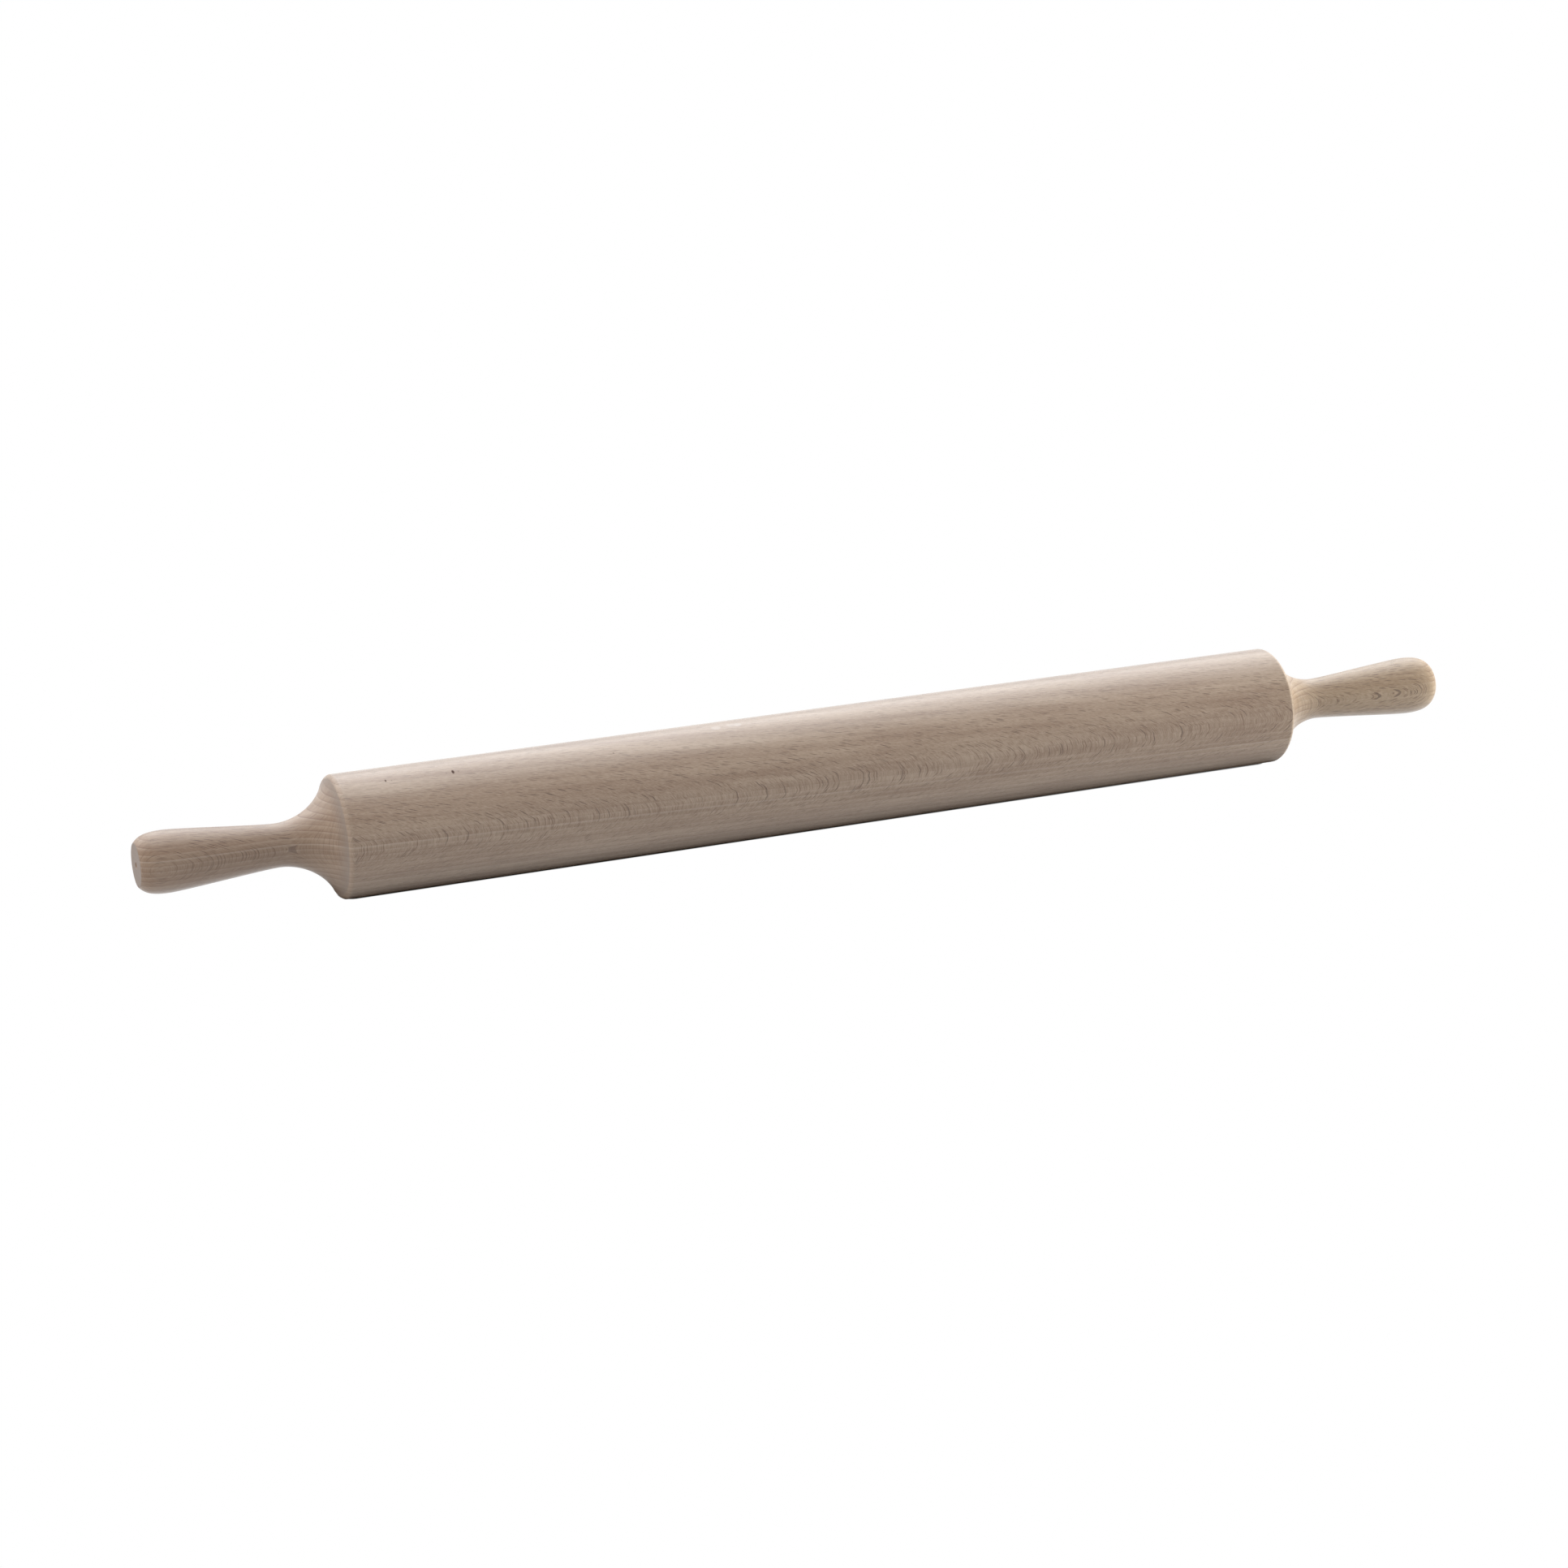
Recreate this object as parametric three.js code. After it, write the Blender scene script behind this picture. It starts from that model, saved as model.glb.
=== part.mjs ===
// A beech rolling pin with fixed handles, lying on a worktop.
// Millimetres, +Z up. The pin lies along X, and the origin is on the worktop, below the pin's middle.

import * as THREE from "three";

// Barrel: the straight rolling surface, and the coved shoulder that leads from it down to each neck
const BARREL_DIAMETER = 60;
const BARREL_LENGTH = 500;
const EDGE_RADIUS = 5;
const SHOULDER_LENGTH = 31;

// Handles: each neck swells to a full grip, which is rounded over to a small flat at its end
const NECK_DIAMETER = 21;
const GRIP_DIAMETER = 29.7;
const LEFT_SWELL_LENGTH = 53;
const RIGHT_SWELL_LENGTH = 56;
const END_LENGTH = 13.8;
const END_FLAT_DIAMETER = 21;

// The dimple that the lathe's centre leaves in each end
const CENTRE_MARK_DIAMETER = 3.2;
const CENTRE_MARK_DEPTH = 3;

// Each handle's round tenon, glued into a blind socket in the end of the barrel
const TENON_DIAMETER = 12;
const TENON_LENGTH = 40;
const GLUE_LINE = 0.15;
const SOCKET_END_ROOM = 1.5;

// How the curves run, as shares of the lengths that they span
const NECK_EASE = 0.14;
const SWELL_EASE = 0.14;
const CROWN_PULL = 0.5;
const ROUNDING_PULL = 0.2;
const ROUNDING_FULLNESS = 0.8;

// Facets
const SIDES = 48;
const ARC_STEPS = 4;
const CURVE_STEPS = 10;

// Sizes that follow from the driving dimensions
const barrelRadius = BARREL_DIAMETER / 2;
const neckRadius = NECK_DIAMETER / 2;
const gripRadius = GRIP_DIAMETER / 2;
const endFlatRadius = END_FLAT_DIAMETER / 2;
const tenonRadius = TENON_DIAMETER / 2;
const socketRadius = tenonRadius + GLUE_LINE;
const barrelEnd = BARREL_LENGTH / 2;
const neckPlane = barrelEnd + SHOULDER_LENGTH;
const tenonEnd = neckPlane - TENON_LENGTH;
const socketEnd = tenonEnd - SOCKET_END_ROOM;

const beech = { color: 0xbfa68d, roughness: 0.45, metalness: 0 };

// Outlines are drawn as (radius, distance along the axis from the pin's middle).

// The barrel's outer line from the rolling surface to the neck: the rounded edge and the cove are two arcs
// that share one tangent, and the cove runs level into the neck.
function shoulderOutline() {
  const drop = barrelRadius - neckRadius;
  const turn = 2 * Math.atan2(drop, SHOULDER_LENGTH);
  const coveRadius = (drop ** 2 + SHOULDER_LENGTH ** 2) / (2 * drop) - EDGE_RADIUS;
  const outline = new THREE.Path();
  outline.moveTo(barrelRadius, barrelEnd);
  outline.absarc(barrelRadius - EDGE_RADIUS, barrelEnd, EDGE_RADIUS, 0, turn, false);
  outline.absarc(neckRadius + coveRadius, neckPlane, coveRadius, Math.PI + turn, Math.PI, true);
  return outline.getPoints(ARC_STEPS);
}

// One end of the barrel, from its middle outwards, over the shoulder and into the socket for the tenon.
function barrelEndOutline() {
  const socket = [
    new THREE.Vector2(socketRadius, neckPlane),
    new THREE.Vector2(socketRadius, socketEnd),
    new THREE.Vector2(0, socketEnd),
  ];
  return [...shoulderOutline(), ...socket];
}

// A handle, from the inner end of its tenon to the mark of the lathe's centre.
function handleOutline(swellLength) {
  const gripPlane = neckPlane + swellLength;
  const endPlane = gripPlane + END_LENGTH;
  const outline = new THREE.Path();
  outline.moveTo(0, tenonEnd);
  outline.lineTo(tenonRadius, tenonEnd);
  outline.lineTo(tenonRadius, neckPlane);
  outline.lineTo(neckRadius, neckPlane);
  outline.bezierCurveTo(
    neckRadius,
    neckPlane + NECK_EASE * swellLength,
    gripRadius,
    gripPlane - SWELL_EASE * swellLength,
    gripRadius,
    gripPlane,
  );
  outline.bezierCurveTo(
    gripRadius,
    gripPlane + CROWN_PULL * END_LENGTH,
    endFlatRadius + ROUNDING_FULLNESS * (gripRadius - endFlatRadius),
    endPlane - ROUNDING_PULL * END_LENGTH,
    endFlatRadius,
    endPlane,
  );
  outline.lineTo(CENTRE_MARK_DIAMETER / 2, endPlane);
  outline.lineTo(0, endPlane - CENTRE_MARK_DEPTH);
  return outline.getPoints(CURVE_STEPS);
}

// Spins an outline about the pin's axis, which lies along X. The facets touch the true round from outside,
// and one row of them faces straight down, so that the barrel lies flat on the worktop.
function turned(name, outline) {
  const halfFacet = Math.PI / SIDES;
  const corners = outline.map((point) => new THREE.Vector2(point.x / Math.cos(halfFacet), point.y));
  const geometry = new THREE.LatheGeometry(corners, SIDES, halfFacet);
  geometry.rotateZ(-Math.PI / 2);
  const piece = new THREE.Mesh(geometry, new THREE.MeshStandardMaterial(beech));
  piece.name = name;
  return piece;
}

function barrel() {
  const rightEnd = barrelEndOutline();
  const leftEnd = rightEnd.map((point) => new THREE.Vector2(point.x, -point.y)).reverse();
  return turned("barrel", [...leftEnd, ...rightEnd]);
}

function handle(name, swellLength, facing) {
  const piece = turned(name, handleOutline(swellLength));
  piece.rotation.z = facing;
  return piece;
}

const rollingPin = new THREE.Group();
rollingPin.name = "rolling_pin";
rollingPin.position.z = barrelRadius;
rollingPin.add(
  barrel(),
  handle("left_handle", LEFT_SWELL_LENGTH, Math.PI),
  handle("right_handle", RIGHT_SWELL_LENGTH, 0),
);

export default rollingPin;
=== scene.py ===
# %% [markdown]
# # A turned beech rolling pin
#
# This lesson dresses a rolling pin: a straight barrel with coved shoulders and two fixed handles, turned in
# beech and lacquered to a satin gloss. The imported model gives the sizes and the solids. Here each solid gets
# a smooth turned surface in its place, and one solid wood material runs through all of them.

import bpy
import numpy as np
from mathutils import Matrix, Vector


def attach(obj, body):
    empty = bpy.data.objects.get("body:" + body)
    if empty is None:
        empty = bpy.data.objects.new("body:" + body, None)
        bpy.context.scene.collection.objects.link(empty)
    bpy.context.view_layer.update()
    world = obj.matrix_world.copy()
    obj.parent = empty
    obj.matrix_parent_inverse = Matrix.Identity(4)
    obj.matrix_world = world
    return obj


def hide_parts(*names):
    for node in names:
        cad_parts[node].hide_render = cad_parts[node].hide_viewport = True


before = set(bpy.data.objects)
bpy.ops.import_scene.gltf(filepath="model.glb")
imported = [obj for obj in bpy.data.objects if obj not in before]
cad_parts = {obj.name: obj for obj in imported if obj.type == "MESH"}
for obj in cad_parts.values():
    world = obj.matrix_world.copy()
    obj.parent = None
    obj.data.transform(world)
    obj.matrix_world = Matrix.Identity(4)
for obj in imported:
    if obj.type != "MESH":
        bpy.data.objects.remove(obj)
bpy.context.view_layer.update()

# %% [markdown]
# ## Sizes
#
# A pin is one outline spun about one axis, so a short list of sizes says all of its shape. They are written
# in millimetres, as on a drawing, and turned into Blender's metres in one place.

# %% Sizes in millimetres
METRES = 0.001
MILLIMETRES = 1000.0

BARREL_RADIUS = 30.0
BARREL_HALF_LENGTH = 250.0
SHOULDER_LENGTH = 31.0
EDGE_RADIUS = 4.0
EDGE_SETBACK = 1.35
EDGE_CREASE = np.radians(20)
EDGE_EASE = 0.6

NECK_RADIUS = 10.5
GRIP_RADIUS = 14.85
LEFT_SWELL_LENGTH = 53.0
RIGHT_SWELL_LENGTH = 56.0
NECK_EASE = 0.14
SWELL_EASE = 0.14

END_LENGTH = 13.8
END_FLAT_RADIUS = 10.5
END_ARRIS = 0.35
CROWN_PULL = 0.5
ROUNDING_PULL = 0.2
ROUNDING_FULLNESS = 0.8

CENTRE_MARK_RADIUS = 1.6
CENTRE_MARK_DEPTH = 3.0

TENON_RADIUS = 6.0
TENON_LENGTH = 40.0
GLUE_LINE = 0.15
SOCKET_END_ROOM = 1.5

NECK_PLANE = BARREL_HALF_LENGTH + SHOULDER_LENGTH
print("length over all:", 2 * (NECK_PLANE + END_LENGTH) + LEFT_SWELL_LENGTH + RIGHT_SWELL_LENGTH, "mm")

# %% [markdown]
# ## Turned surfaces
#
# A lathe leaves a surface that is a function of two parameters: the place along the outline and the angle
# round the axis. A Screw or Spin modifier could do the same, but with numpy every point is worked out at
# once, the poles are single points, and the faces are known to look outwards.

# %% Spin an outline
STEPS_ROUND = 240
CREASE_ANGLE = np.radians(28)


def turned(name, outline):
    """Spins an outline of (place on the axis, radius) rows about the pin's axis.

    A point is (x, radius times the sine of the angle, radius times the cosine of the angle), raised by the
    barrel's radius so that the pin lies on the floor. The first and last rows are on the axis: they are
    single points, and fans of triangles close the surface there.
    """
    angle = np.arange(STEPS_ROUND) * 2 * np.pi / STEPS_ROUND
    rings = outline[1:-1]
    points = np.empty((len(rings), STEPS_ROUND, 3))
    points[..., 0] = rings[:, :1]
    points[..., 1] = rings[:, 1:] * np.sin(angle)
    points[..., 2] = rings[:, 1:] * np.cos(angle) + BARREL_RADIUS
    poles = np.zeros((2, 3))
    poles[:, 0] = outline[[0, -1], 0]
    poles[:, 2] = BARREL_RADIUS
    vertices = np.concatenate([points.reshape(-1, 3), poles]) * METRES

    index = np.arange(len(rings) * STEPS_ROUND).reshape(len(rings), STEPS_ROUND)
    onward = np.roll(index, -1, axis=1)
    quads = np.stack([index[:-1], onward[:-1], onward[1:], index[1:]], axis=-1).reshape(-1, 4)
    first_pole = np.full(STEPS_ROUND, len(vertices) - 2)
    last_pole = np.full(STEPS_ROUND, len(vertices) - 1)
    first_fan = np.stack([first_pole, onward[0], index[0]], axis=-1)
    last_fan = np.stack([last_pole, index[-1], onward[-1]], axis=-1)

    mesh = bpy.data.meshes.new(name)
    mesh.from_pydata(vertices.tolist(), [], quads.tolist() + first_fan.tolist() + last_fan.tolist())
    mesh.flip_normals()
    mesh.shade_smooth()
    mesh.set_sharp_from_angle(angle=CREASE_ANGLE)
    mesh.update()
    piece = bpy.data.objects.new(name, mesh)
    bpy.context.scene.collection.objects.link(piece)
    print(name, "has", len(mesh.polygons), "faces")
    return piece


# %% Curves for outlines
def bezier(start, pull_out, pull_in, end, steps):
    """A cubic curve: the four points weighted by the Bernstein polynomials of a parameter from 0 to 1."""
    t = np.linspace(0, 1, steps + 1)[:, None]
    weights = [(1 - t) ** 3, 3 * t * (1 - t) ** 2, 3 * t**2 * (1 - t), t**3]
    corners = [start, pull_out, pull_in, end]
    return sum(weight * np.array(corner) for weight, corner in zip(weights, corners))


def arc(centre, radius, start_angle, end_angle, steps):
    """A circular arc: centre plus radius times (sine, cosine) of an angle measured from the radial way."""
    angle = np.linspace(start_angle, end_angle, steps + 1)
    return np.array(centre) + radius * np.stack([np.sin(angle), np.cos(angle)], axis=1)


# %% [markdown]
# ## Barrel
#
# The barrel is the rolling surface. At each end a soft crease leads over a rounded edge, and a hollow cove
# sweeps down to the neck. Edge and cove are two arcs with one common tangent, which is what a turner's gouge
# leaves.

# %% Barrel outline
ARC_STEPS = 24
ARRIS_STEPS = 6


def barrel_end_outline():
    """From the rolling surface over the edge and the cove to the neck, and into the socket for the tenon.

    The edge's arc starts at the crease angle and turns until the cove takes over. The tangent of half that
    turn is the fall over the run of both arcs together, counted from where the edge's arc would be level.
    """
    crease = (BARREL_HALF_LENGTH + EDGE_SETBACK, BARREL_RADIUS)
    crease_way = np.array([np.sin(EDGE_CREASE), np.cos(EDGE_CREASE)])
    edge_centre = np.array(crease) - EDGE_RADIUS * crease_way
    run = NECK_PLANE - edge_centre[0]
    fall = edge_centre[1] + EDGE_RADIUS - NECK_RADIUS
    turn = 2 * np.arctan2(fall, run)
    cove_radius = run / np.sin(turn) - EDGE_RADIUS
    edge = arc(edge_centre, EDGE_RADIUS, EDGE_CREASE, turn, ARC_STEPS)
    eased = bezier((crease[0] - EDGE_EASE, BARREL_RADIUS), crease, crease, edge[3], ARRIS_STEPS)
    cove = arc((NECK_PLANE, NECK_RADIUS + cove_radius), cove_radius, np.pi + turn, np.pi, 2 * ARC_STEPS)
    socket_radius = TENON_RADIUS + GLUE_LINE
    socket_end = NECK_PLANE - TENON_LENGTH - SOCKET_END_ROOM
    socket = [(NECK_PLANE, socket_radius), (socket_end, socket_radius), (socket_end, 0)]
    return np.concatenate([eased, edge[4:], cove[1:], socket])


right_end = barrel_end_outline()
left_end = right_end[::-1] * (-1, 1)
barrel = turned("turned_barrel", np.concatenate([left_end, right_end]))

# %% [markdown]
# ## Handles
#
# Each handle swells from the neck to a full grip and is rounded over to a small flat, where the waste was
# sawn off, with the mark of the lathe's centre in it. Its tenon sits in the barrel's socket, out of sight.

# %% Handle outline
CURVE_STEPS = 40


def handle_outline(swell_length):
    """From the tenon's inner end to the bottom of the centre mark, along the grip."""
    grip_plane = NECK_PLANE + swell_length
    end_plane = grip_plane + END_LENGTH
    tenon_end = NECK_PLANE - TENON_LENGTH
    tenon = [(tenon_end, 0), (tenon_end, TENON_RADIUS), (NECK_PLANE, TENON_RADIUS)]
    swell = bezier(
        (NECK_PLANE, NECK_RADIUS),
        (NECK_PLANE + NECK_EASE * swell_length, NECK_RADIUS),
        (grip_plane - SWELL_EASE * swell_length, GRIP_RADIUS),
        (grip_plane, GRIP_RADIUS),
        CURVE_STEPS,
    )
    shoulder_radius = END_FLAT_RADIUS + ROUNDING_FULLNESS * (GRIP_RADIUS - END_FLAT_RADIUS)
    rounding = bezier(
        (grip_plane, GRIP_RADIUS),
        (grip_plane + CROWN_PULL * END_LENGTH, GRIP_RADIUS),
        (end_plane - ROUNDING_PULL * END_LENGTH, shoulder_radius),
        (end_plane, END_FLAT_RADIUS),
        CURVE_STEPS,
    )
    corner = rounding[-1]
    arris = bezier(rounding[-2], corner, corner, corner - (0, END_ARRIS), ARRIS_STEPS)
    mark = [(end_plane, CENTRE_MARK_RADIUS), (end_plane - CENTRE_MARK_DEPTH, 0)]
    return np.concatenate([tenon, swell, rounding[1:-2], arris, mark])


right_handle = turned("turned_right_handle", handle_outline(RIGHT_SWELL_LENGTH))
left_handle = turned("turned_left_handle", handle_outline(LEFT_SWELL_LENGTH)[::-1] * (-1, 1))

# %% [markdown]
# ## Shader formulas
#
# Wood is a formula in space. Written out node by node it is hard to read, so a small class lets a node's
# output stand in an ordinary expression: each operator adds the Math node that does its work.


# %% Sockets in expressions
class Wire:
    """A node output inside a formula for one node tree. Without an output it is only a place to start."""

    def __init__(self, tree, socket=None):
        self.tree = tree
        self.socket = socket

    def node(self, kind, settings=None, inputs=None, output=0):
        """Adds any node: its settings first, then the values or links of its sockets."""
        made = self.tree.nodes.new(kind)
        for key, value in (settings or {}).items():
            setattr(made, key, value)
        for key, value in (inputs or {}).items():
            if isinstance(value, Wire):
                self.tree.links.new(value.socket, made.inputs[key])
            else:
                made.inputs[key].default_value = value
        return Wire(self.tree, made.outputs[output] if made.outputs else None)

    def maths(self, operation, first, second):
        return self.node("ShaderNodeMath", {"operation": operation}, {0: first, 1: second})

    def __add__(self, other):
        return self.maths("ADD", self, other)

    def __sub__(self, other):
        return self.maths("SUBTRACT", self, other)

    def __rsub__(self, other):
        return self.maths("SUBTRACT", other, self)

    def __mul__(self, other):
        return self.maths("MULTIPLY", self, other)

    def __truediv__(self, other):
        return self.maths("DIVIDE", self, other)

    def __pow__(self, other):
        return self.maths("POWER", self, other)

    def fraction(self):
        return self.node("ShaderNodeMath", {"operation": "FRACT"}, {0: self})

    def size(self):
        return self.node("ShaderNodeMath", {"operation": "ABSOLUTE"}, {0: self})

    def ramp(self, start, end):
        """0 at start, 1 at end, with a smooth step between; start may be above end."""
        settings = {"interpolation_type": "SMOOTHSTEP"}
        inputs = {"Value": self, "From Min": start, "From Max": end}
        return self.node("ShaderNodeMapRange", settings, inputs)

    def vector(self, x, y, z):
        return self.node("ShaderNodeCombineXYZ", None, {0: x, 1: y, 2: z})

    def part(self, axis):
        """One of the three numbers of a vector: X, Y or Z."""
        return self.node("ShaderNodeSeparateXYZ", None, {0: self}, axis)

    def dot(self, direction):
        """How far a vector reaches along a direction."""
        inputs = {0: self, 1: direction}
        return self.node("ShaderNodeVectorMath", {"operation": "DOT_PRODUCT"}, inputs, "Value")

    def blend(self, first, second):
        """Mixes two colours with this value as the share of the second."""
        settings = {"data_type": "RGBA", "clamp_factor": True}
        return self.node("ShaderNodeMix", settings, {0: self, 6: first, 7: second}, output=2)


def larger(first, second):
    return first.maths("MAXIMUM", first, second)


def linear(red, green, blue):
    """A colour as it is read off a screen, 0 to 255, as Blender's linear light."""
    screen = np.array([red, green, blue]) / 255
    light = np.where(screen <= 0.04045, screen / 12.92, ((screen + 0.055) / 1.055) ** 2.4)
    return (*light.tolist(), 1.0)


WHITE = (1.0, 1.0, 1.0, 1.0)
print("mid grey is", linear(128, 128, 128)[0], "in linear light")


# %% [markdown]
# ## Beech
#
# Beech shows three things. Growth rings are layers, a few millimetres apart. Rays are thin upright ribbons
# that lie across the rings: cut edge on they are the short brown dashes that everyone knows from beech,
# and where the surface runs along them they open out into a band of arcs and of flecks that stop at each
# ring. Fine fibres fill the rest. Because all of it is worked out in space and not on the surface, the
# dashes, the arcs and the rings come out by themselves wherever the lathe cut through them, and they run on
# from the barrel into the handles.

# %% Wood directions
FACING_TILT = np.radians(6.4)
FIBRE_SLOPE = np.radians(8.0)
RAY_WAY = (0.0, -np.cos(FACING_TILT), np.sin(FACING_TILT))
LAYER_FALL = 0.0275


def millimetres(start, axis):
    """The place on the surface along one axis of its object."""
    place = start.node("ShaderNodeTexCoord", output="Object")
    return place.part(axis) * MILLIMETRES


def wood_directions(x, y, z):
    """Millimetres across the rays, along the fibre, and up through the rings.

    The ray normal points at the viewer's side, a little up. Along and across are then turned by the slope
    of the fibre, and the rings fall slowly towards the right.
    """
    facing = z * np.sin(FACING_TILT) - y * np.cos(FACING_TILT)
    upward = z * np.cos(FACING_TILT) + y * np.sin(FACING_TILT)
    across = facing * np.cos(FIBRE_SLOPE) - x * np.sin(FIBRE_SLOPE)
    along = x * np.cos(FIBRE_SLOPE) + facing * np.sin(FIBRE_SLOPE)
    layers = upward + x * LAYER_FALL
    return across, along, layers


# %% Marks on the barrel
# place along the axis, degrees above the front, half width, half height, strength
KNOTS = [
    (-229.3, 71.7, 0.45, 0.9, 0.9),
    (-226.4, 71.0, 0.30, 0.5, 0.35),
    (-209.9, 71.6, 0.25, 0.5, 0.30),
    (-199.5, 70.8, 0.30, 0.5, 0.40),
    (-196.2, 71.3, 0.70, 1.4, 1.0),
    (-193.5, 71.0, 0.30, 0.5, 0.45),
    (-116.0, 66.8, 0.35, 0.6, 0.60),
]
# Painted glints: small painted highlights of the lacquer near the top of the barrel, lightened into the colour
PAINTED_GLINTS = [
    (-59.3, 85.0, 2.6, 2.2, 0.16),
    (-51.0, 87.0, 2.4, 2.0, 0.13),
    (-47.8, 86.0, 2.2, 1.8, 0.20),
]
print("marks:", len(KNOTS), "small knots and", len(PAINTED_GLINTS), "painted_highlights")


def marks(x, y, z, rows):
    """Small ellipsoids that the surface cuts through: the strength of the strongest one at each place."""
    strongest = 0.0
    for along_axis, degrees, half_width, half_height, strength in rows:
        angle = np.radians(degrees)
        sideways = ((x - along_axis) / half_width) ** 2
        depth = ((y + BARREL_RADIUS * np.cos(angle)) / half_height) ** 2
        height = ((z - BARREL_RADIUS * np.sin(angle)) / half_height) ** 2
        mark = (sideways + depth + height).ramp(1.4, 0.4) * strength
        strongest = larger(mark, strongest)
    return strongest


# %% Noise and rays
def noise(grain, width, length, height, detail=2.0, offset=0.0):
    """Cloudy noise from 0 to 1 that is stretched along the fibre."""
    across, along, layers = grain
    place = across.vector(across / width + offset, along / length, layers / height)
    inputs = {"Vector": place, "Scale": 1.0, "Detail": detail}
    return across.node("ShaderNodeTexNoise", None, inputs, "Fac")


def rays(grain, thicker, width, length, height, rarity, offset=0.0):
    """Spindle-shaped ribbons: the space within a short stretched distance of scattered points.

    Each point has its luck from 0 to 1, and only points whose luck is above the rarity hold a ribbon.
    """
    across, along, layers = grain
    place = across.vector(across / width + offset, along / length, layers / height)
    distance = across.node("ShaderNodeTexVoronoi", None, {"Vector": place, "Scale": 1.0}, "Distance")
    colour = Wire(across.tree, distance.socket.node.outputs["Color"])
    luck = across.node("ShaderNodeSeparateColor", None, {0: colour}, "Red")
    return (distance - thicker).ramp(0.33, 0.2) * luck.ramp(rarity, rarity + 0.4)


# %% Growth rings
RING_WIDTH = 2.6
PALE_RING = -5.2


def growth_rings(grain, end_grain):
    """Rings that start dark, grow paler upwards and end in a sharp step; each has its own luck.

    Gives the dark starts, the pale ends, the thin lines on end grain, and the ring numbers.
    """
    layers = grain[2]
    place = layers / RING_WIDTH + (noise(grain, 60, 400, 11, 1.0, 7.0) - 0.5)
    ring = place.fraction()
    number = place - ring
    luck = layers.node("ShaderNodeTexWhiteNoise", {"noise_dimensions": "1D"}, {"W": number}, "Value")
    weight = larger(layers.ramp(4.0, -6.0) * 0.6 + 0.3, end_grain)
    dark_start = ring.ramp(0.55, 0.0) * (luck * 0.7 + 0.3) * weight
    pale_end = ring.ramp(0.55, 0.95) * (luck * -0.7 + 1.0) * weight
    line = ring.ramp(0.18, 0.04) * (luck * 0.6 + 0.4) * end_grain
    return dark_start, pale_end, line, number


def pale_ring(layers):
    """The one ring that stands out as a pale line below the flecks."""
    above = layers - PALE_RING
    return above.ramp(-1.2, -0.2) * above.ramp(0.1, -0.1)


# %% Rays by the way that the surface faces
def ray_patterns(wavy_grain, normal, handles):
    """Long rays, which show most edge on, and short ones, which show where the surface runs along them.

    Gives both, and how plain they are: less so towards the underside.
    """
    edge_on = normal.dot(RAY_WAY).size().ramp(1.0, 0.86)
    weight = wavy_grain[2].ramp(-16.0, 2.0) * 0.4 + 0.6
    thicker = handles * 0.05
    long_rays = rays(wavy_grain, thicker, 0.2, 8.0, 60.0, 0.3) * (edge_on * 0.4 + 0.6)
    short_rays = rays(wavy_grain, thicker, 0.13, 4.5, 30.0, 0.2, 31.0)
    short_rays = short_rays * larger(1 - edge_on * 0.7, handles * 0.6)
    return long_rays, short_rays, weight


# %% Beech colours
WOOD_DARK = linear(142, 111, 88)
WOOD_PALE = linear(200, 176, 153)
# Handle colours: painted shade that darkens the handles towards the left, painted light towards the right
LEFT_HANDLE_PAINTED_SHADE = linear(150, 118, 92)
RIGHT_HANDLE_PAINTED_LIGHT = linear(212, 186, 138)
RING_PALE_END = linear(205, 184, 165)
RING_DARK_START = linear(138, 104, 83)
RING_LINE = linear(112, 78, 58)
SHORT_RAY = linear(106, 67, 41)
LONG_RAY = linear(70, 34, 14)
PALE_LINE = linear(215, 197, 180)
# The next colour is a painted highlight along the rounded edge at each end of the barrel
RIM_HIGHLIGHT_COLOUR = linear(215, 194, 172)
SAWN_END = linear(150, 136, 127)
# The next colour is near white, for the painted glints on the lacquer
GLINT_WHITE = linear(240, 236, 232)
KNOT = linear(66, 33, 15)

# %% Beech material
RIM_PLACE = 252.6
HANDLE_START = 225.0
HANDLE_FULL = 300.0
WOOD_ROUGHNESS = 0.42
WOOD_IOR = 1.5
COAT_WEIGHT = 0.8
COAT_ROUGHNESS = 0.18
BUMP_STRENGTH = 0.15
BUMP_DEPTH = 0.1 * METRES


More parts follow.
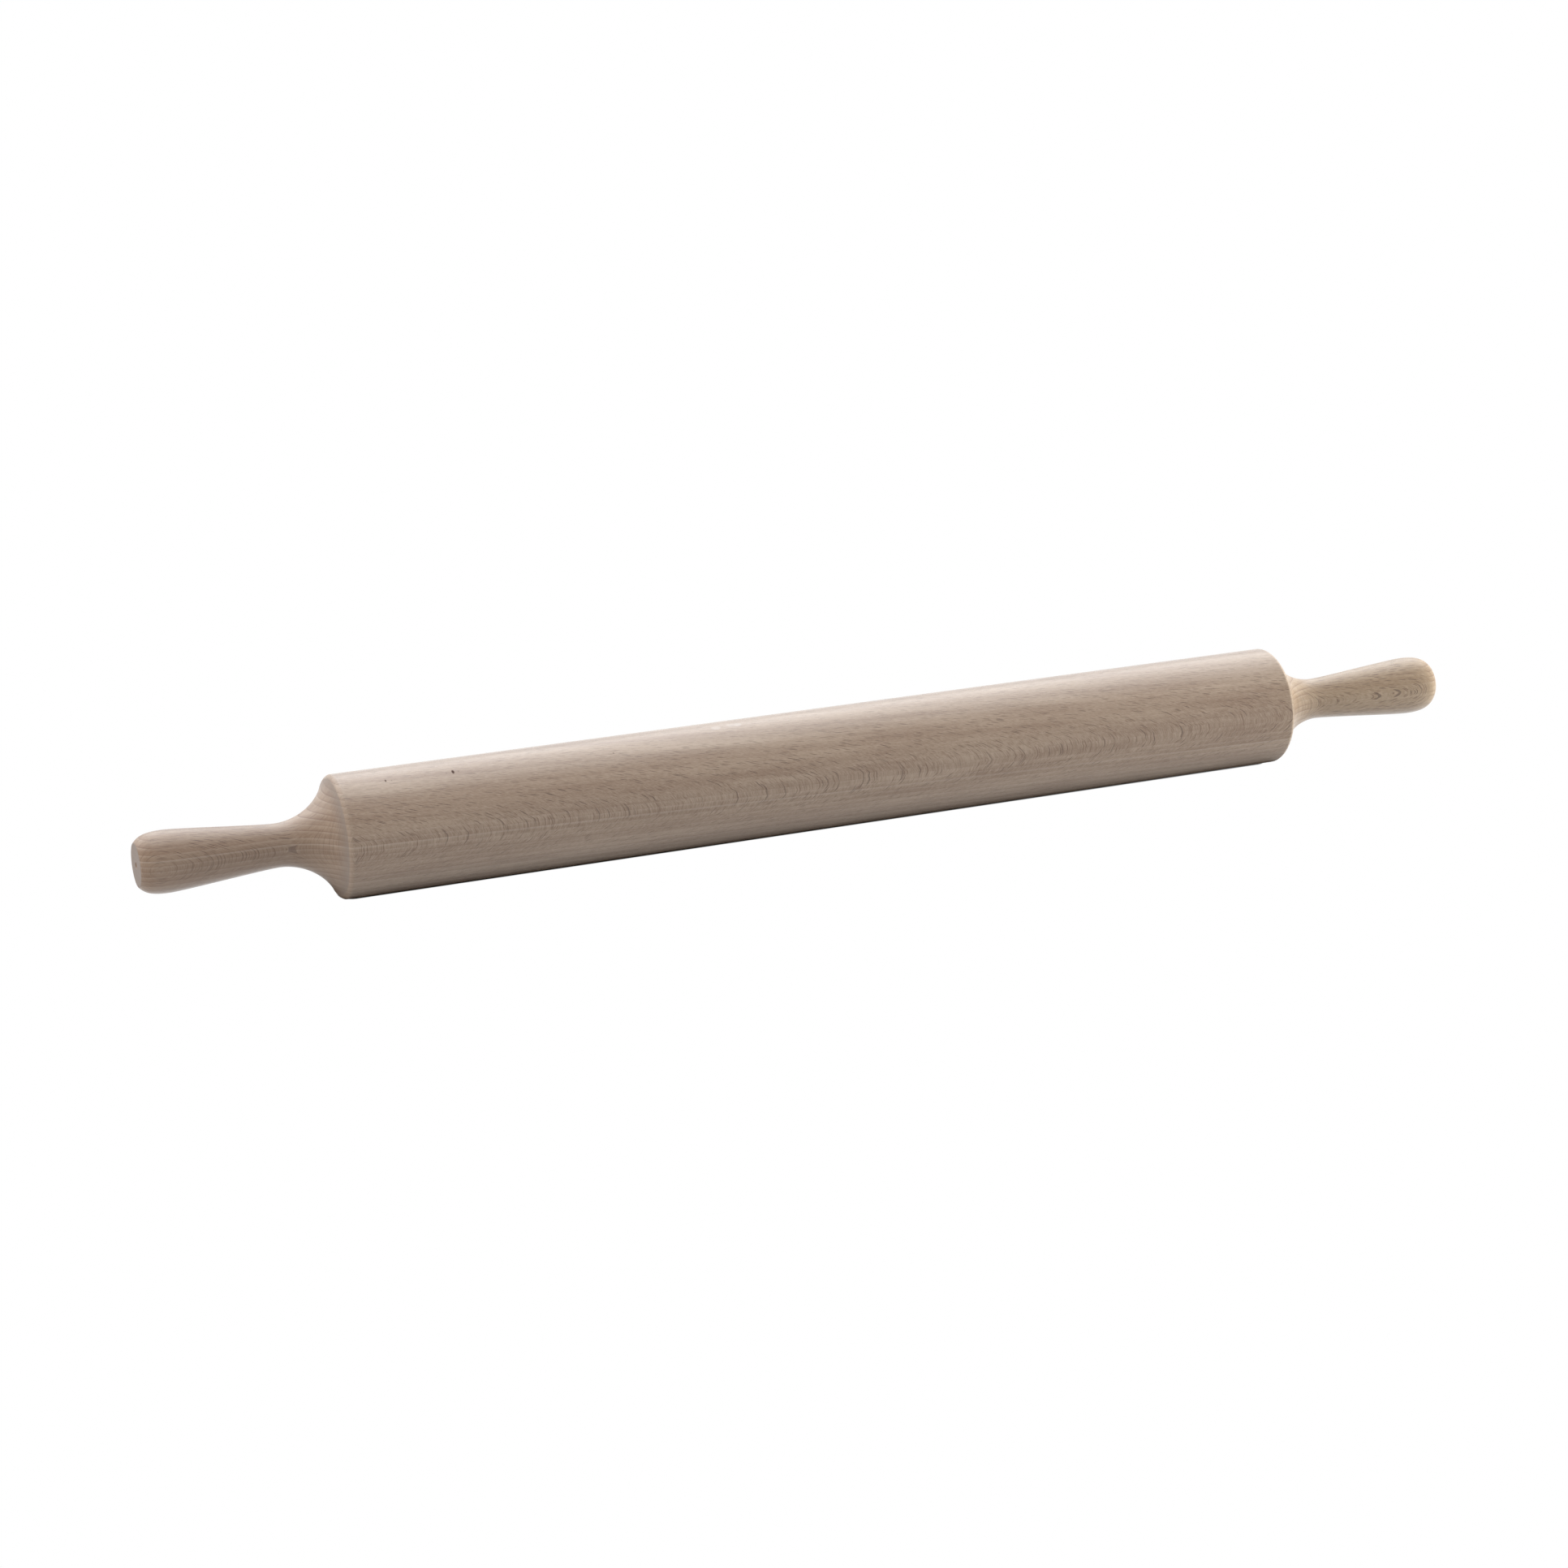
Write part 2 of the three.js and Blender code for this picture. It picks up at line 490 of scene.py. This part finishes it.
def beech_material():
    """The ground of streaks, fibres and flecks, tinted by one pattern after the other, under lacquer."""
    material = bpy.data.materials.new("lacquered_beech")
    material.use_nodes = True
    material.node_tree.nodes.clear()
    start = Wire(material.node_tree)
    x = millimetres(start, "X")
    y = millimetres(start, "Y")
    z = millimetres(start, "Z") - BARREL_RADIUS
    across, along, layers = wood_directions(x, y, z)
    grain = (across, along, layers)
    wavy = across + (noise(grain, 9, 30, 7) - 0.5) * 0.8

    # End grain drinks more lacquer, so the rings are plainer on the coves and the ends
    normal = start.node("ShaderNodeTexCoord", output="Normal")
    end_on = normal.part("X").size()
    end_grain = end_on.ramp(0.12, 0.4)
    sawn = end_on.ramp(0.75, 0.97)

    handles = x.size().ramp(HANDLE_START, HANDLE_FULL)
    # Painted highlight: a pale line painted where the barrel's rounded edges catch the light
    rim_highlight = (x.size() - RIM_PLACE).size().ramp(2.4, 0.4)
    knots = marks(x, y, z, KNOTS)
    dark_start, pale_end, ring_line, ring_number = growth_rings(grain, end_grain)
    long_rays, short_rays, ray_weight = ray_patterns((wavy, along, layers), normal, handles)

    # The flecks stop at each ring, because the ring's number is one of their coordinates
    fleck_place = start.vector(wavy / 0.07, along / 2.2, ring_number * 5.7)
    fleck_inputs = {"Vector": fleck_place, "Scale": 1.0, "Detail": 1.0}
    flecks = start.node("ShaderNodeTexNoise", None, fleck_inputs, "Fac")
    fibre = noise(grain, 0.12, 8.0, 0.25, 1.0)
    streaks = noise(grain, 10.0, 140.0, 4.0, 2.0, 3.0)
    ground = (streaks * 0.35 + fibre * 0.2 + flecks * 0.45).ramp(0.25, 0.75)

    tints = [
        # painted shade deepens the left handle, painted light makes the right handle paler and warmer
        (handles * x.ramp(HANDLE_FULL, -HANDLE_FULL) * 0.42, LEFT_HANDLE_PAINTED_SHADE),
        (handles * x.ramp(0.0, HANDLE_FULL) * 0.18, RIGHT_HANDLE_PAINTED_LIGHT),
        (pale_end * 0.3, RING_PALE_END),
        (dark_start * 0.45, RING_DARK_START),
        (ring_line * 0.32, RING_LINE),
        (short_rays * ray_weight * 0.65, SHORT_RAY),
        (long_rays * ray_weight * (1 - end_grain * 0.45), LONG_RAY),
        (pale_ring(layers) * 0.18, PALE_LINE),
        (rim_highlight * 0.2, RIM_HIGHLIGHT_COLOUR),
        (sawn * 0.85, SAWN_END),
        # painted glints: painted highlights near the top of the barrel
        (marks(x, y, z, PAINTED_GLINTS), GLINT_WHITE),
        (knots, KNOT),
    ]
    wood = ground.blend(WOOD_DARK, WOOD_PALE)
    for share, colour in tints:
        wood = share.blend(wood, colour)

    relief = long_rays * -0.6 + fibre * 0.4
    bump_inputs = {"Strength": BUMP_STRENGTH, "Distance": BUMP_DEPTH, "Height": relief}
    coat = COAT_WEIGHT - end_grain * 0.35 - sawn * 0.3 - knots * 0.7 - handles * 0.15
    lacquer_inputs = {
        "Base Color": wood,
        "Roughness": sawn * 0.2 + knots * 0.4 + WOOD_ROUGHNESS,
        "IOR": WOOD_IOR,
        "Coat Weight": larger(coat, 0.0),
        "Coat Roughness": COAT_ROUGHNESS,
        "Normal": start.node("ShaderNodeBump", None, bump_inputs, "Normal"),
    }
    lacquer = start.node("ShaderNodeBsdfPrincipled", None, lacquer_inputs)
    start.node("ShaderNodeOutputMaterial", None, {"Surface": lacquer})
    print(material.name, "has", len(material.node_tree.nodes), "nodes")
    return material


# %% Dress the pieces
beech = beech_material()
stands_for = {"barrel": barrel, "left_handle": left_handle, "right_handle": right_handle}
for node_name, piece in stands_for.items():
    piece.data.materials.append(beech)
    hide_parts(node_name)
    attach(piece, "root")

# %% [markdown]
# ## Floor
#
# The pin lies on a white sweep that vanishes into a white background. Only the thin dark line where the
# barrel meets the floor is left of its shadow, so the floor shines white to the eye away from that line.
# Near that line the floor's colour is painted shade, near black, and painted light lifts the line on the
# right.

# %% Floor
FLOOR_HALF_SIZE = 9.0
SHADOW_HALF_LENGTH = 245.2
SHADOW_START = 6.6
SHADOW_END = 7.6
# FADE_START to FADE_END: painted light that lifts the dark contact line towards the right
FADE_START = -250.0
FADE_END = 300.0
FADE = 0.14
GAP_START = 10.0
GAP_END = 20.0
GLOSS_START = 10.0
GLOSS_END = 38.0
# The floor's near-black colour by the contact line is painted shade
PAINTED_GAP_SHADE = (0.02, 0.02, 0.02, 1.0)
MATT_WHITE = (0.44, 0.46, 0.49, 1.0)


def ray_kind(start, kind):
    """1 for one kind of ray and 0 for the others."""
    return start.node("ShaderNodeLightPath", output=kind)


def floor_material():
    """White to the eye and to the lacquer, except near the line on which the barrel rests.

    The distance from that line is the root of the squares of y and of the way past the line's end.
    """
    material = bpy.data.materials.new("white_floor")
    material.use_nodes = True
    material.node_tree.nodes.clear()
    start = Wire(material.node_tree)
    x = millimetres(start, "X")
    y = millimetres(start, "Y")
    beyond_end = larger(x.size() - SHADOW_HALF_LENGTH, 0.0)
    from_contact = (beyond_end**2 + y**2) ** 0.5
    direct = larger(ray_kind(start, "Is Camera Ray"), ray_kind(start, "Is Transmission Ray"))
    # painted light: a white shine on the contact line that grows towards the right and lifts the line there
    painted_light_right = x.ramp(FADE_START, FADE_END) ** 3 * FADE
    white = larger(
        direct * larger(from_contact.ramp(SHADOW_START, SHADOW_END), painted_light_right),
        ray_kind(start, "Is Glossy Ray") * from_contact.ramp(GLOSS_START, GLOSS_END),
    )
    # painted shade: the floor's colour is near black close to the contact line
    gap_painted_shade = start.node("ShaderNodeBsdfDiffuse", None, {"Color": PAINTED_GAP_SHADE})
    matt = start.node("ShaderNodeBsdfDiffuse", None, {"Color": MATT_WHITE})
    shine = start.node("ShaderNodeEmission", None, {"Color": WHITE, "Strength": 1.0})
    clear_of_painted_shade = from_contact.ramp(GAP_START, GAP_END)
    lit = start.node("ShaderNodeMixShader", None, {0: clear_of_painted_shade, 1: gap_painted_shade, 2: matt})
    mixed = start.node("ShaderNodeMixShader", None, {0: white, 1: lit, 2: shine})
    start.node("ShaderNodeOutputMaterial", None, {"Surface": mixed})
    return material


floor_mesh = bpy.data.meshes.new("floor")
floor_corners = np.array([(-1, -1, 0), (1, -1, 0), (1, 1, 0), (-1, 1, 0)]) * FLOOR_HALF_SIZE
floor_mesh.from_pydata(floor_corners.tolist(), [], [(0, 1, 2, 3)])
floor = bpy.data.objects.new("floor", floor_mesh)
bpy.context.scene.collection.objects.link(floor)
floor_mesh.materials.append(floor_material())
print("floor:", 2 * FLOOR_HALF_SIZE, "m square")

# %% [markdown]
# ## Light
#
# A white studio. The world is a wide bright screen above and behind the pin, which the lacquer mirrors along
# the top, and it is dim in front. Three soft boxes fill in: one at each end for the coves and the handles'
# ends, and a low one in front on the right, so that the front of the pin brightens from left to right.

# %% World
FRONT_LIGHT = 0.06
BACK_LIGHT = 2.5
BACK_WAY = (0.0, 0.77, 0.64)
BACK_COLOUR = (0.96, 0.98, 1.0, 1.0)

world = bpy.data.worlds.new("studio")
bpy.context.scene.world = world
world.use_nodes = True
world.node_tree.nodes.clear()
sky = Wire(world.node_tree)
way = sky.node("ShaderNodeTexCoord", output="Generated")
screen = way.dot(BACK_WAY).ramp(0.1, 0.98) * way.part("Z").ramp(0.0, 0.5)
studio = screen * BACK_LIGHT + FRONT_LIGHT
looks = larger(ray_kind(sky, "Is Camera Ray"), ray_kind(sky, "Is Transmission Ray"))
strength = larger(studio, ray_kind(sky, "Is Glossy Ray")) * (1 - looks) + looks
tint = looks.blend(BACK_COLOUR, WHITE)
background = sky.node("ShaderNodeBackground", None, {"Color": tint, "Strength": strength})
sky.node("ShaderNodeOutputWorld", None, {"Surface": background})
print("world:", BACK_LIGHT, "behind and", FRONT_LIGHT, "in front")


# %% Soft boxes
def soft_box(name, place, aim, width, height, watts, colour):
    """A rectangular lamp that looks from its place to its aim, and that the lacquer doesn't mirror."""
    lamp = bpy.data.lights.new(name, "AREA")
    lamp.shape = "RECTANGLE"
    lamp.size = width
    lamp.size_y = height
    lamp.energy = watts
    lamp.color = colour
    stand = bpy.data.objects.new(name, lamp)
    stand.location = place
    stand.rotation_euler = (Vector(aim) - Vector(place)).to_track_quat("-Z", "Y").to_euler()
    stand.visible_glossy = False
    bpy.context.scene.collection.objects.link(stand)
    print(name, "gives", watts, "W")


soft_box("right_box", (1.9, 0.0, 0.15), (0.3, 0.0, 0.03), 1.0, 0.2, 43.0, (0.93, 1.0, 0.97))
soft_box("front_box", (0.9, -0.7, 0.12), (0.0, 0.0, 0.03), 0.6, 0.2, 2.2, (1.0, 0.97, 0.92))
soft_box("left_box", (-1.75, -0.6, 0.32), (-0.3, 0.0, 0.03), 1.0, 0.6, 6.8, (1.0, 0.97, 0.92))

# %% [markdown]
# ## Camera
#
# The camera's place was worked out from the outline of the pin in the photograph: it stands to the left of
# the middle, looks down a little, and has a long lens.

# %% Camera
AZIMUTH = np.radians(-22.44)
ELEVATION = np.radians(20.28)
DISTANCE = 1.720
AIM = Vector((-0.022, 0.0, 0.0244))
IMAGE_WIDTH = 1932
FOCAL_PIXELS = 4246
SENSOR_WIDTH = 36.0

camera_data = bpy.data.cameras.new("camera")
camera_data.sensor_width = SENSOR_WIDTH
camera_data.lens = FOCAL_PIXELS / IMAGE_WIDTH * SENSOR_WIDTH
camera_data.clip_end = 100
camera = bpy.data.objects.new("camera", camera_data)
way_back = Vector((
    np.sin(AZIMUTH) * np.cos(ELEVATION),
    -np.cos(AZIMUTH) * np.cos(ELEVATION),
    np.sin(ELEVATION),
))
camera.location = AIM + DISTANCE * way_back
camera.rotation_euler = (-way_back).to_track_quat("-Z", "Y").to_euler()
bpy.context.scene.collection.objects.link(camera)
bpy.context.scene.camera = camera
bpy.context.scene.view_settings.view_transform = "Standard"
print("lens:", camera_data.lens, "mm")
